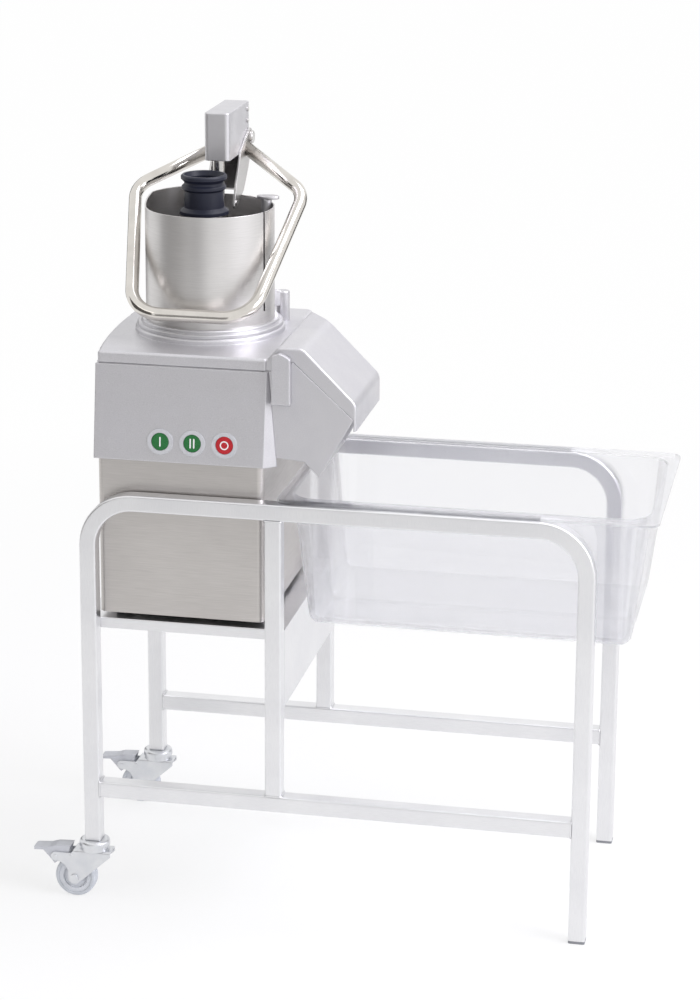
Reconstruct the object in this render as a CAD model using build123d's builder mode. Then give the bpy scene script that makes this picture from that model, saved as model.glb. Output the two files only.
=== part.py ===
from build123d import *
from math import atan2, cos, degrees, hypot, radians, sin, sqrt
import os

# Vegetable cutting machine with a bulk hopper, standing on a mobile stand with a food pan.
# Millimetres. X runs along the stand to the right, Y to the back, Z up from the floor.
# The origin is on the floor, under the middle of the overall length and width.

# Stand of square tube
stand_length = 768
stand_width = 396
stand_height = 650
tube = 25
tube_wall = 1.5
tube_corner = 3
bend_radius = 70
lower_rail_height = 168
middle_post_offset = 282
foot_cap_height = 4

# Shelf and apron of sheet steel
shelf_drop = 201
shelf_sheet = 2
shelf_lip = 16
apron_drop = 120

# Braked casters under the left legs
wheel_radius = 32
wheel_width = 20
hub_radius = 25.5
hub_rim = 6.7
hub_recess = 3
axle_radius = 4
caster_trail = 29.5
caster_height = 97
fork_sheet = 2.5
fork_foot_radius = 10
fork_lobe_radius = 7.3
wheel_gap = 2
race_radius = 23.5
race_height = 16.5
stem_radius = 8
stem_length = 34
pedal_reach = 94.5
pedal_width = 23
pedal_sheet = 2.5
pedal_pin_back = 59.2
pedal_pin_height = 65.3
pedal_pin_radius = 2.5

# Food pan
pan_overhang = 87
pan_rim_overlap = 18
pan_depth = 204
pan_wall = 3
pan_taper = 7.5
pan_corner = 40
pan_rim = 3.5
pan_side_gap = 5
pan_end_rim = 14

# Motor base
base_inset = 22
base_width = 252
base_depth = 336
base_height = 240
base_sheet = 1.5
base_corner = 10
machine_foot_height = 8
machine_foot_radius = 12

# Cutting chamber casting
casting_width = 255
casting_depth = 326
casting_height = 146
casting_wall = 6
chamber_radius = 97
chamber_depth = 78
chamber_floor = 8
bearing_hub_radius = 28
hopper_offset = 132

# Chute, measured from the top right edge of the casting
chute_wall = 4
chute_depth = 182
chute_seam = 90
chute_drop = 155
chute_throat = 86
chute_clear = 200

# Lid and hood
lid_gap = 1
lid_thickness = 17
lid_overhang = 2
lid_boss_radius = 113
lid_boss_height = 9
hood_wall = 4
hood_rise = 18
hood_bend = 18
hood_edge = 3.5
hood_reach = 4
hood_end_drop = 83
hood_turn_drop = 43
lid_edge = 5
lid_bow_place = 110
hinge_pin_radius = 5
knuckle_radius = 10
knuckle_length = 30
knuckle_inset = 35
knuckle_spacing = 150
knuckle_play = 0.5
running_gap = 0.05

# Control panel
panel_height = 143
panel_top_depth = 3
panel_bottom_depth = 15
button_radius = 13
button_gap = 0.4
button_pitch = 48.4
button_height = 31
button_depth = 6
button_travel = 2.5
bezel_radius = 19.5
bezel_depth = 1.2

# Lid latch
latch_width = 28
latch_rise = 29.5
latch_drop = 48.5
latch_thickness = 10
latch_gap = 0.6
latch_pin_radius = 2.5
latch_lug_width = 8
latch_slot_height = 8
latch_skin = 1.5

# Drive
motor_radius = 62
motor_height = 196
motor_pulley_radius = 18
drive_pulley_radius = 72
pulley_width = 20
belt_thickness = 3
motor_shaft_radius = 9.5
drive_shaft_radius = 12
bearing_radius = 23.5
bearing_width = 14
motor_gap = 2.5
belt_reach = 102

# Discs
disc_radius = 94
disc_thickness = 5
disc_top_gap = 3
ejector_thickness = 6
vane_height = 38
vane_count = 4
blade_count = 3
blade_rise = 2.5

# Feed head
hopper_radius = 97
hopper_wall = 2
hopper_height = 179.5
hopper_back_rise = 13
hopper_slot_width = 4.5
hopper_slot_angle = -20
hopper_slot_height = 150
flange_radius = 110
flange_height = 6
upper_bead_radius = 104
upper_bead_height = 5
guide_post_radius = 8
guide_post_angle = 26
guide_cap_length = 34
guide_cap_width = 20
guide_cap_height = 5
lug_radius = 10
lug_height = 45
lug_shift_x = 94
lug_shift_y = 82

# Pusher, measured from the centre of the hopper
pusher_gap = 12
pusher_thickness = 20
pusher_clearance = 2.5
feed_tube_shift_x = -3.5
feed_tube_shift_y = -20
feed_tube_radius = 29
feed_tube_wall = 3
feed_tube_rise = 51
tube_ring_radius = 36.8
tube_lip_radius = 34.4
shaft_shift_x = 5
shaft_shift_y = 36
pusher_shaft_radius = 9
head_width = 38.5
head_depth = 130
head_height = 72
head_wall = 4
head_rise = 63
head_front_y = 24

# Lever: channel arm and bent handle
arm_sheet = 3
side_gap = 0.5
pivot_radius = 6
pivot_back = 7
pivot_height = 17
elbow_back = 44
elbow_drop = 75
stud_back = 95
stud_drop = 85
stud_radius = 4
stud_length = 2
handle_tube_radius = 10
handle_tube_wall = 1.5
handle_run_y = -120
handle_run_height = 37.5
handle_half_run = 90
handle_half_width = 131
handle_corner_run = 238
handle_front_bend = 52
handle_side_bend = 38

os.makedirs("parts", exist_ok=True)


def save(piece, label):
    piece.label = label
    export_step(piece, f"parts/{label}.step")


def level(height):
    return Plane.XY.offset(height)


def facing_front(y):
    return Plane.XZ.offset(-y)


def facing_right(x):
    return Plane.YZ.offset(x)


# Places that several pieces share
pedal_overhang = pedal_reach - tube / 2
x_left = (pedal_overhang - stand_length - pan_overhang) / 2
x_right = x_left + stand_length
x_post = x_left + middle_post_offset
y_leg = (stand_width - tube) / 2
y_inner = stand_width / 2 - tube
rail_top = lower_rail_height + tube
inner = tube - 2 * tube_wall

base_left = x_left + base_inset
base_middle = base_left + base_width / 2
shelf_height = stand_height - shelf_drop
base_bottom = shelf_height + machine_foot_height
casting_bottom = base_bottom + base_height
casting_top = casting_bottom + casting_height
casting_right = base_left + casting_width
casting_middle = base_left + casting_width / 2
y_front = -base_depth / 2
casting_back = y_front + casting_depth
hopper_x = base_left + hopper_offset
chamber_bottom = casting_top - chamber_depth
lid_bottom = casting_top + lid_gap
lid_top = lid_bottom + lid_thickness
boss_top = lid_top + lid_boss_height
hopper_inner = hopper_radius - hopper_wall
rim_height = boss_top + hopper_height


# Two hoops, each one bent tube from the left leg over the top to the right leg
for side, y in (("front", -y_leg), ("rear", y_leg)):
    with BuildPart() as hoop:
        with BuildLine(facing_front(y)):
            FilletPolyline(
                (x_left + tube / 2, caster_height),
                (x_left + tube / 2, stand_height - tube / 2),
                (x_right - tube / 2, stand_height - tube / 2),
                (x_right - tube / 2, foot_cap_height),
                radius=bend_radius,
            )
        with BuildSketch(level(caster_height)):
            with Locations((x_left + tube / 2, y)):
                RectangleRounded(tube, tube, tube_corner)
                RectangleRounded(inner, inner, tube_corner - tube_wall, mode=Mode.SUBTRACT)
        sweep()
    save(hoop.part, f"{side}_hoop")

    with BuildPart() as rail:
        with BuildSketch(facing_right(x_left + tube)):
            with Locations((y, lower_rail_height + tube / 2)):
                RectangleRounded(tube, tube, tube_corner)
                RectangleRounded(inner, inner, tube_corner - tube_wall, mode=Mode.SUBTRACT)
        extrude(amount=stand_length - 2 * tube)
    save(rail.part, f"{side}_lower_rail")

    with BuildPart() as post:
        with BuildSketch(level(rail_top)):
            with Locations((x_post + tube / 2, y)):
                RectangleRounded(tube, tube, tube_corner)
                RectangleRounded(inner, inner, tube_corner - tube_wall, mode=Mode.SUBTRACT)
        extrude(amount=stand_height - tube - rail_top)
    save(post.part, f"{side}_middle_post")

# Foot caps close the right legs and stand on the floor
with BuildPart() as foot_caps:
    with BuildSketch():
        with Locations((x_right - tube / 2, -y_leg), (x_right - tube / 2, y_leg)):
            RectangleRounded(tube, tube, tube_corner)
    extrude(amount=foot_cap_height)
    with BuildSketch(level(foot_cap_height)):
        with Locations((x_right - tube / 2, -y_leg), (x_right - tube / 2, y_leg)):
            RectangleRounded(inner - 0.4, inner - 0.4, tube_corner - tube_wall)
    extrude(amount=3 * foot_cap_height)
save(foot_caps.part, "foot_caps")

# Shelf tray: a folded sheet between the hoops, with a lip on each long side
shelf_length = middle_post_offset + tube - shelf_sheet
with BuildPart() as shelf_tray:
    with BuildSketch(facing_right(x_left)):
        with BuildLine():
            Polyline(
                (-y_inner + shelf_sheet, shelf_height - shelf_lip),
                (-y_inner, shelf_height - shelf_lip),
                (-y_inner, shelf_height),
                (y_inner, shelf_height),
                (y_inner, shelf_height - shelf_lip),
                (y_inner - shelf_sheet, shelf_height - shelf_lip),
                (y_inner - shelf_sheet, shelf_height - shelf_sheet),
                (-y_inner + shelf_sheet, shelf_height - shelf_sheet),
                close=True,
            )
        make_face()
    extrude(amount=shelf_length)
    fillet(shelf_tray.edges().filter_by(Axis.X).group_by(Axis.Z)[-1], 1.5)
save(shelf_tray.part, "shelf_tray")

# Apron that keeps drips off the floor between machine and pan
with BuildPart() as drip_apron:
    with BuildSketch(facing_right(x_left + shelf_length)):
        with Locations((0, shelf_height - apron_drop / 2)):
            Rectangle(2 * y_inner, apron_drop)
    extrude(amount=shelf_sheet)
save(drip_apron.part, "drip_apron")


def make_caster(side, y):
    """One swivel caster with its wheel trailing to the left, and its brake pedal."""
    axis_x = x_left + tube / 2
    axle_x = axis_x - caster_trail
    pin_x = axis_x - pedal_pin_back
    race_top = caster_height - 1
    crown_top = race_top - race_height
    half_fork = wheel_width / 2 + wheel_gap
    half_outer = half_fork + fork_sheet

    # Stem: plug inside the leg, a flange under it and the neck that the race turns on
    with BuildPart() as stem:
        with BuildSketch(level(race_top)):
            with Locations((axis_x, y)):
                RectangleRounded(tube, tube, tube_corner)
        extrude(amount=1)
        with BuildSketch(level(caster_height)):
            with Locations((axis_x, y)):
                RectangleRounded(inner - 0.4, inner - 0.4, 1)
        extrude(amount=stem_length)
        with BuildSketch(level(crown_top - 2)):
            with Locations((axis_x, y)):
                Circle(stem_radius)
        extrude(amount=race_height + 2)
    save(stem.part, f"{side}_caster_stem")

    # Fork: a folded sheet, its crown under the ball race and a cheek on each side of the wheel
    with BuildPart() as fork:
        with BuildSketch(facing_front(y + half_outer)):
            with BuildLine():
                foot_left = (axle_x - fork_foot_radius, wheel_radius + 4)
                lobe_low = (pin_x, pedal_pin_height - fork_lobe_radius)
                Polyline(
                    foot_left,
                    (axle_x - fork_foot_radius, wheel_radius),
                    (axle_x + 7, wheel_radius - 7),
                    (axis_x + race_radius + 4, crown_top - 9),
                    (axis_x + race_radius + 4, crown_top),
                    (axis_x - race_radius - 6, crown_top),
                    (axis_x - race_radius - 11, pedal_pin_height + fork_lobe_radius),
                    (pin_x, pedal_pin_height + fork_lobe_radius),
                    lobe_low,
                )
                ThreePointArc(lobe_low, (axle_x - 15.5, wheel_radius + 20.5), foot_left)
            make_face()
            with Locations((pin_x, pedal_pin_height)):
                Circle(fork_lobe_radius)
            with Locations((axle_x, wheel_radius)):
                Circle(fork_foot_radius)
        extrude(amount=2 * half_outer)
        with BuildSketch(facing_right(pin_x - 2 * fork_lobe_radius)):
            with Locations((y, crown_top / 2)):
                Rectangle(2 * half_outer, crown_top)
            fillet(vertices().group_by(Axis.Y)[-1], 5)
        extrude(amount=pedal_pin_back + 3 * race_radius, mode=Mode.INTERSECT)
        with BuildSketch(facing_right(pin_x - 2 * fork_lobe_radius)):
            with Locations((y, (crown_top - fork_sheet) / 2)):
                Rectangle(2 * half_fork, crown_top - fork_sheet)
            fillet(vertices().group_by(Axis.Y)[-1], 5 - fork_sheet)
        extrude(amount=pedal_pin_back + 3 * race_radius, mode=Mode.SUBTRACT)
        with BuildSketch(facing_front(y)):
            with BuildLine():
                Polyline(
                    (axis_x + stem_radius + running_gap, crown_top - 1),
                    (axis_x + race_radius - 2, crown_top - 1),
                    (axis_x + race_radius - 2, crown_top + 6),
                    (axis_x + race_radius, crown_top + 6),
                    (axis_x + race_radius, race_top - 0.5),
                    (axis_x + stem_radius + running_gap, race_top - 0.5),
                    close=True,
                )
            make_face()
            fillet(vertices().group_by(Axis.X)[-1].sort_by(Axis.Y)[-1], 5)
        revolve(axis=Axis((axis_x, y, 0), (0, 0, 1)))
        with BuildSketch(level(crown_top - fork_sheet - 1)):
            with Locations((axis_x, y)):
                Circle(stem_radius + running_gap)
        extrude(amount=fork_sheet + 2, mode=Mode.SUBTRACT)
        with BuildSketch(facing_front(y + half_outer + 1)):
            with Locations((axle_x, wheel_radius)):
                Circle(axle_radius)
        extrude(amount=2 * half_outer + 2, mode=Mode.SUBTRACT)
        with BuildSketch(facing_front(y + half_outer + 1)):
            with Locations((pin_x, pedal_pin_height)):
                Circle(pedal_pin_radius)
        extrude(amount=2 * half_outer + 2)
        for rivet_y in (y + half_outer + 1, y - half_outer):
            with BuildSketch(facing_front(rivet_y)):
                with Locations((axle_x - 5, crown_top - 12)):
                    Circle(pedal_pin_radius)
            extrude(amount=1)
    save(fork.part, f"{side}_caster_fork")

    # Axle with a low head on each cheek
    with BuildPart() as axle:
        with BuildSketch(facing_front(y + half_outer + 1.5)):
            with Locations((axle_x, wheel_radius)):
                Circle(axle_radius)
        extrude(amount=2 * half_outer + 3)
        for head_y in (y + half_outer + 2.5, y - half_outer):
            with BuildSketch(facing_front(head_y)):
                with Locations((axle_x, wheel_radius)):
                    Circle(axle_radius + 2.5)
            extrude(amount=2.5)
    save(axle.part, f"{side}_caster_axle")

    # Wheel: rounded tyre around a hub with a recessed face
    with BuildPart() as tyre:
        with BuildSketch(facing_right(axle_x)):
            with Locations((y, wheel_radius + (wheel_radius + hub_radius) / 2)):
                Rectangle(wheel_width, wheel_radius - hub_radius)
            fillet(vertices().group_by(Axis.Y)[-1], 5)
        revolve(axis=Axis((axle_x, y, wheel_radius), (0, 1, 0)))
    save(tyre.part, f"{side}_caster_tyre")

    with BuildPart() as hub:
        with BuildSketch(facing_front(y + wheel_width / 2 - 1)):
            with Locations((axle_x, wheel_radius)):
                Circle(hub_radius)
        extrude(amount=wheel_width - 2)
        for face_y in (y + wheel_width / 2 - 1, y - wheel_width / 2 + 1 + hub_recess):
            with BuildSketch(facing_front(face_y)):
                with Locations((axle_x, wheel_radius)):
                    Circle(hub_radius - hub_rim)
                    Circle(axle_radius + 4, mode=Mode.SUBTRACT)
            extrude(amount=hub_recess, mode=Mode.SUBTRACT)
        with BuildSketch(facing_front(y + wheel_width / 2)):
            with Locations((axle_x, wheel_radius)):
                Circle(axle_radius + running_gap)
        extrude(amount=wheel_width, mode=Mode.SUBTRACT)
    save(hub.part, f"{side}_caster_hub")

    # Brake pedal: a moulded shoe between the cheeks, hollow from below, with a long tread
    pedal_tip = axis_x - pedal_reach
    half_pedal = pedal_width / 2
    with BuildPart() as pedal:
        with BuildSketch(facing_front(y + half_pedal)):
            Polygon(
                (pedal_tip, pedal_pin_height + 11),
                (pin_x - 11, pedal_pin_height + 13),
                (pin_x, pedal_pin_height + 16.5),
                (pin_x + 23.5, pedal_pin_height + 17.7),
                (pin_x + 21, pedal_pin_height + 9),
                (pin_x + 8, pedal_pin_height - 5),
                (pin_x - 2, pedal_pin_height - 12.5),
                (pin_x - 9.5, pedal_pin_height - 3.5),
                (pin_x - 20, pedal_pin_height + 8),
                (pedal_tip, pedal_pin_height + 7),
            )
        extrude(amount=pedal_width)
        fillet(pedal.edges().filter_by(Axis.Z).sort_by(Axis.X)[:2], 3)
        with BuildSketch(facing_front(y + half_pedal - pedal_sheet)):
            Polygon(
                (pin_x - 20, pedal_pin_height + 12 - pedal_sheet),
                (pin_x - 11, pedal_pin_height + 13 - pedal_sheet),
                (pin_x, pedal_pin_height + 16.5 - pedal_sheet),
                (pin_x + 30, pedal_pin_height + 18 - pedal_sheet),
                (pin_x + 30, pedal_pin_height - 20),
                (pin_x - 2, pedal_pin_height - 20),
            )
        extrude(amount=pedal_width - 2 * pedal_sheet, mode=Mode.SUBTRACT)
        with BuildSketch(facing_front(y + half_pedal + 1)):
            with Locations((pin_x, pedal_pin_height)):
                Circle(pedal_pin_radius + running_gap)
        extrude(amount=pedal_width + 2, mode=Mode.SUBTRACT)
    save(pedal.part, f"{side}_caster_pedal")


make_caster("front", -y_leg)
make_caster("rear", y_leg)

# Food pan: tapered clear walls, a rounded bottom and a flat rim that lies on the hoops
pan_left = x_post + tube + pan_wall - pan_end_rim
pan_right = x_right + pan_overhang
pan_middle = (pan_left + pan_right) / 2
pan_body_length = pan_right - pan_left - 2 * pan_end_rim
pan_body_width = 2 * y_inner - 2 * pan_side_gap
pan_rim_width = 2 * y_inner + 2 * pan_rim_overlap


def pan_body(shrink, top, depth, bottom_radius):
    """Tapered tub with rounded corners, narrower than the outside by a shrink all around."""
    with BuildPart() as tub:
        with BuildSketch(level(top)):
            with Locations((pan_middle, 0)):
                length = pan_body_length - 2 * shrink
                RectangleRounded(length, pan_body_width - 2 * shrink, pan_corner - shrink)
        extrude(amount=-depth, taper=pan_taper)
        fillet(tub.edges().group_by(Axis.Z)[0], bottom_radius)
    return tub.part


with BuildPart() as food_pan:
    add(pan_body(0, stand_height + pan_rim, pan_depth, 18))
    with BuildSketch(level(stand_height)):
        with Locations((pan_middle, 0)):
            RectangleRounded(pan_right - pan_left, pan_rim_width, pan_corner / 2)
    extrude(amount=pan_rim)
    mouth_depth = pan_depth - pan_wall
    add(pan_body(pan_wall, stand_height + pan_rim, mouth_depth, 18 - pan_wall), mode=Mode.SUBTRACT)
save(food_pan.part, "food_pan")

# Base housing: folded sheet with rounded upright edges, open at top and bottom
with BuildPart() as base_housing:
    with BuildSketch(level(base_bottom)):
        with Locations((base_middle, 0)):
            RectangleRounded(base_width, base_depth, base_corner)
    extrude(amount=base_height)
    with BuildSketch(level(base_bottom)):
        with Locations((base_middle, 0)):
            RectangleRounded(
                base_width - 2 * base_sheet, base_depth - 2 * base_sheet, base_corner - base_sheet
            )
    extrude(amount=base_height - base_sheet, mode=Mode.SUBTRACT)
    with BuildSketch(level(casting_bottom - base_sheet)):
        with Locations((base_middle, 0)):
            Rectangle(base_width - 30, base_depth - 30)
    extrude(amount=base_sheet, mode=Mode.SUBTRACT)
save(base_housing.part, "base_housing")

# Base plate closes the housing from below
with BuildPart() as base_plate:
    with BuildSketch(level(base_bottom)):
        with Locations((base_middle, 0)):
            RectangleRounded(
                base_width - 2 * base_sheet, base_depth - 2 * base_sheet, base_corner - base_sheet
            )
    extrude(amount=2)
save(base_plate.part, "base_plate")

with BuildPart() as machine_feet:
    with BuildSketch(level(shelf_height)):
        with Locations((base_middle, 0)):
            with GridLocations(base_width - 60, base_depth - 60, 2, 2):
                Circle(machine_foot_radius)
    extrude(amount=machine_foot_height)
save(machine_feet.part, "machine_feet")

# Motor, standing on the base plate close to the back wall. In a shallower base it stands
# further to the left, so that the belt keeps its reach.
motor_y = base_depth / 2 - base_sheet - motor_gap - motor_radius
motor_x = hopper_x - sqrt(max(belt_reach**2 - motor_y**2, 0))
motor_bottom = base_bottom + 2
motor_top = motor_bottom + motor_height
pulley_bottom = motor_top + 10
with BuildPart() as motor:
    with BuildSketch(level(motor_bottom)):
        with Locations((motor_x, motor_y)):
            Circle(motor_radius)
    extrude(amount=motor_height)
    with BuildSketch(level(motor_bottom + 40)):
        with Locations((motor_x, motor_y)):
            with PolarLocations(motor_radius, 24):
                Rectangle(6, 4)
    extrude(amount=motor_height - 80, mode=Mode.SUBTRACT)
    with BuildSketch(level(motor_top - 60)):
        with Locations((motor_x, motor_y)):
            Circle(motor_shaft_radius + running_gap)
    extrude(amount=61, mode=Mode.SUBTRACT)
save(motor.part, "motor")

with BuildPart() as motor_shaft:
    with BuildSketch(level(motor_top - 58)):
        with Locations((motor_x, motor_y)):
            Circle(motor_shaft_radius)
    extrude(amount=pulley_bottom + pulley_width - motor_top + 58)
save(motor_shaft.part, "motor_shaft")


def grooved_pulley(x, y, outer, bore):
    """Ribbed belt pulley with shallow grooves around its rim."""
    groove = pulley_width / 5
    rim = [(outer, pulley_bottom)]
    for step in range(1, 5):
        middle = pulley_bottom + step * groove
        rim += [(outer, middle - 1), (outer - 1.5, middle), (outer, middle + 1)]
    rim.append((outer, pulley_bottom + pulley_width))
    with BuildPart() as pulley:
        with BuildSketch(facing_front(y)):
            with BuildLine():
                Polyline(
                    (x + bore, pulley_bottom),
                    *[(x + radius, height) for radius, height in rim],
                    (x + bore, pulley_bottom + pulley_width),
                    close=True,
                )
            make_face()
        revolve(axis=Axis((x, y, 0), (0, 0, 1)))
    return pulley.part


save(grooved_pulley(motor_x, motor_y, motor_pulley_radius, motor_shaft_radius), "motor_pulley")
save(grooved_pulley(hopper_x, 0, drive_pulley_radius, drive_shaft_radius), "drive_pulley")


def belt_outline(clearance):
    """Outline of an open belt around both pulleys, at a distance from their rims."""
    with BuildSketch(level(pulley_bottom + 1)) as outline:
        with Locations((hopper_x, 0)):
            Circle(drive_pulley_radius + clearance)
        with Locations((motor_x, motor_y)):
            Circle(motor_pulley_radius + clearance)
        make_hull()
    return outline.sketch


# Drive belt, a hair off both rims
belt_outer = belt_outline(0.3 + belt_thickness)
belt_inner = belt_outline(0.3)
with BuildPart() as drive_belt:
    extrude(belt_outer, amount=pulley_width - 2)
    extrude(belt_inner, amount=pulley_width - 2, mode=Mode.SUBTRACT)
save(drive_belt.part, "drive_belt")

# Chute below the hood: front cheek, back wall that narrows the throat, and a sloping floor
seam_start = chute_wall + 37
seam_end = seam_start + chute_seam
chute_tip = chute_throat - 6
throat_y = y_front + chute_depth
cheek = [
    (casting_right - 2, casting_top),
    (casting_right + 24, casting_top),
    (casting_right + seam_start, casting_top + 15.5),
    (casting_right + seam_end, casting_top + 15.5 - 0.91 * chute_seam),
    (casting_right + chute_tip, casting_top - chute_drop),
    (casting_right + chute_tip - 21, casting_top - chute_drop + 21.5),
    (casting_right + 23, casting_top - chute_drop + 25),
    (casting_right - 2, casting_top - chute_drop + 25),
]
floor_low = (casting_right + chute_tip + 3, casting_top - chute_drop + 4.5)
floor_high = (casting_right - 3, chamber_bottom - 1)
back_turn = casting_right + 56


def duct_plan(shrink, start):
    """Plan of the duct: straight at the front, and narrowing at the back to the throat.

    It runs on past the mouth by chute_clear, so that whatever it trims is trimmed whole.
    """
    return [
        (start, y_front + shrink),
        (casting_right + chute_clear, y_front + shrink),
        (casting_right + chute_clear, throat_y - shrink),
        (back_turn - shrink / 2, throat_y - shrink),
        (start, throat_y + chute_throat - shrink),
    ]


with BuildPart() as chute_inside:
    with BuildSketch(facing_front(throat_y + chute_throat)):
        Polygon(
            floor_high,
            floor_low,
            (casting_right + chute_clear, casting_top - chute_drop - 60),
            (casting_right + chute_clear, casting_top + 80),
            (casting_right - 3, casting_top + 80),
        )
    extrude(amount=chute_depth + chute_throat)
    with BuildSketch(level(casting_top - 2 * chute_drop)):
        Polygon(*duct_plan(chute_wall, casting_right))
    extrude(amount=3 * chute_drop, mode=Mode.INTERSECT)

with BuildPart() as chute_under:
    with BuildSketch(facing_front(throat_y + chute_throat)):
        Polygon(
            (floor_high[0], floor_high[1] - 6),
            (floor_low[0] - 4, floor_low[1] - 3),
            (floor_low[0] - 4, casting_top - 2 * chute_drop),
            (floor_high[0], casting_top - 2 * chute_drop),
        )
    extrude(amount=chute_depth + chute_throat)
    with BuildSketch(level(casting_top - 2 * chute_drop)):
        Polygon(*duct_plan(chute_wall, casting_right))
    extrude(amount=3 * chute_drop, mode=Mode.INTERSECT)

with BuildPart() as chute_shell:
    with BuildSketch(facing_front(throat_y + chute_throat)):
        Polygon(*cheek)
    extrude(amount=chute_depth + chute_throat)
    with BuildSketch(level(casting_top - 2 * chute_drop)):
        Polygon(*duct_plan(0, casting_right - 2))
    extrude(amount=3 * chute_drop, mode=Mode.INTERSECT)
    add(chute_inside.part, mode=Mode.SUBTRACT)
    add(chute_under.part, mode=Mode.SUBTRACT)

# Bowl casting: outer walls, the round chamber with its floor and bearing hub, and the chute
latch_x = casting_right + 11
latch_middle = latch_x + latch_width / 2
latch_pin_z = casting_top - latch_drop + latch_pin_radius + 2
latch_pin_y = y_front - latch_gap - latch_pin_radius - 2
with BuildPart() as bowl_casting:
    with BuildSketch(level(casting_bottom)):
        with Locations((casting_middle, y_front + casting_depth / 2)):
            Rectangle(casting_width, casting_depth)
        fillet(vertices(), base_corner)
    extrude(amount=casting_height)
    with BuildSketch(level(casting_bottom)):
        with Locations((casting_middle, y_front + casting_depth / 2)):
            Rectangle(casting_width - 2 * casting_wall, casting_depth - 2 * casting_wall)
        with Locations((hopper_x, 0)):
            Circle(chamber_radius + casting_wall, mode=Mode.SUBTRACT)
        with Locations((casting_right, 0)):
            Rectangle(2 * chute_throat, 2 * chamber_radius + casting_wall, mode=Mode.SUBTRACT)
    extrude(amount=casting_height - 12, mode=Mode.SUBTRACT)
    with BuildSketch(level(casting_bottom)):
        with Locations((hopper_x, 0)):
            Circle(chamber_radius)
            Circle(bearing_hub_radius, mode=Mode.SUBTRACT)
    extrude(amount=casting_height - chamber_depth - chamber_floor, mode=Mode.SUBTRACT)
    with BuildSketch(level(chamber_bottom)):
        with Locations((hopper_x, 0)):
            Circle(chamber_radius)
    extrude(amount=chamber_depth, mode=Mode.SUBTRACT)
    add(chute_shell.part)
    with BuildSketch(level(chamber_bottom)):
        Polygon(
            (hopper_x, -chamber_radius),
            (casting_right + 1, -chamber_radius),
            (casting_right + 1, chamber_radius - chute_wall),
            (hopper_x, chamber_radius - chute_wall),
        )
    extrude(amount=chamber_depth, mode=Mode.SUBTRACT)
    with BuildSketch(level(chamber_bottom)):
        with Locations((hopper_x, 0)):
            Circle(drive_shaft_radius + 8)
    extrude(amount=6)
    with BuildSketch(level(casting_bottom)):
        with Locations((hopper_x, 0)):
            Circle(bearing_radius)
    extrude(amount=casting_height - chamber_depth - chamber_floor, mode=Mode.SUBTRACT)
    with BuildSketch(level(casting_bottom)):
        with Locations((hopper_x, 0)):
            Circle(drive_shaft_radius + 1)
    extrude(amount=casting_height, mode=Mode.SUBTRACT)
    with BuildSketch(facing_right(latch_middle - latch_lug_width / 2)):
        with Locations((latch_pin_y, latch_pin_z)):
            Circle(latch_pin_radius + 1.5)
        with Locations(((latch_pin_y + y_front + 1) / 2, latch_pin_z)):
            Rectangle(y_front + 1 - latch_pin_y, 2 * latch_pin_radius + 3)
        with Locations((latch_pin_y, latch_pin_z)):
            Circle(latch_pin_radius + running_gap, mode=Mode.SUBTRACT)
    extrude(amount=latch_lug_width)
save(bowl_casting.part, "bowl_casting")

# Lid latch: a cast tab with a rounded top, slotted at its foot for the lug that it swings on
latch_back = y_front - latch_gap
latch_front = latch_back - latch_thickness
with BuildPart() as lid_latch:
    with BuildSketch(facing_front(latch_back)):
        with BuildLine():
            Polyline(
                (latch_x, latch_pin_z),
                (latch_x, casting_top + latch_rise - 5),
                (latch_x + 12, casting_top + latch_rise),
                (latch_x + latch_width - 8, casting_top + latch_rise - 3),
                (latch_x + latch_width, casting_top + latch_rise - 8),
                (latch_x + latch_width, latch_pin_z),
                close=True,
            )
        make_face()
        fillet(vertices().group_by(Axis.X)[0].sort_by(Axis.Y)[-1], 4)
        fillet(vertices().group_by(Axis.X)[-1].sort_by(Axis.Y)[-1], 4)
    extrude(amount=latch_thickness)
    fillet(lid_latch.edges().group_by(Axis.Y)[0].sort_by(Axis.Z)[1:], 1.5)
    with BuildSketch(facing_right(latch_x)):
        with BuildLine():
            Polyline(
                (latch_back, latch_pin_z),
                (latch_front, latch_pin_z),
                (latch_front, latch_pin_z - 2),
                (latch_front + 2, latch_pin_z - latch_pin_radius - 2),
                (latch_pin_y, latch_pin_z - latch_pin_radius - 2),
            )
            ThreePointArc(
                (latch_pin_y, latch_pin_z - latch_pin_radius - 2),
                (
                    latch_pin_y + (latch_pin_radius + 2) * sin(radians(45)),
                    latch_pin_z - (latch_pin_radius + 2) * sin(radians(45)),
                ),
                (latch_back, latch_pin_z),
            )
        make_face()
    extrude(amount=latch_width)
    with BuildSketch(facing_front(latch_back)):
        with Locations((latch_middle, latch_pin_z)):
            Rectangle(latch_lug_width + 1, 2 * latch_slot_height)
    extrude(amount=latch_thickness - latch_skin, mode=Mode.SUBTRACT)
    with BuildSketch(facing_right(latch_middle - latch_width / 4)):
        with Locations((latch_pin_y, latch_pin_z)):
            Circle(latch_pin_radius)
    extrude(amount=latch_width / 2)
save(lid_latch.part, "lid_latch")

# Shaft bearings, drive shaft and its seat in the chamber
with BuildPart() as shaft_bearings:
    for bearing_z in (casting_bottom + 2, chamber_bottom - chamber_floor - bearing_width):
        with BuildSketch(level(bearing_z)):
            with Locations((hopper_x, 0)):
                Circle(bearing_radius)
                Circle(drive_shaft_radius + running_gap, mode=Mode.SUBTRACT)
        extrude(amount=bearing_width)
save(shaft_bearings.part, "shaft_bearings")

disc_top = casting_top - disc_top_gap
disc_bottom = disc_top - disc_thickness
ejector_bottom = chamber_bottom + 11
ejector_top = ejector_bottom + ejector_thickness
with BuildPart() as drive_shaft:
    with BuildSketch(level(pulley_bottom)):
        with Locations((hopper_x, 0)):
            Circle(drive_shaft_radius)
    extrude(amount=disc_bottom - pulley_bottom + 1)
save(drive_shaft.part, "drive_shaft")


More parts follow.
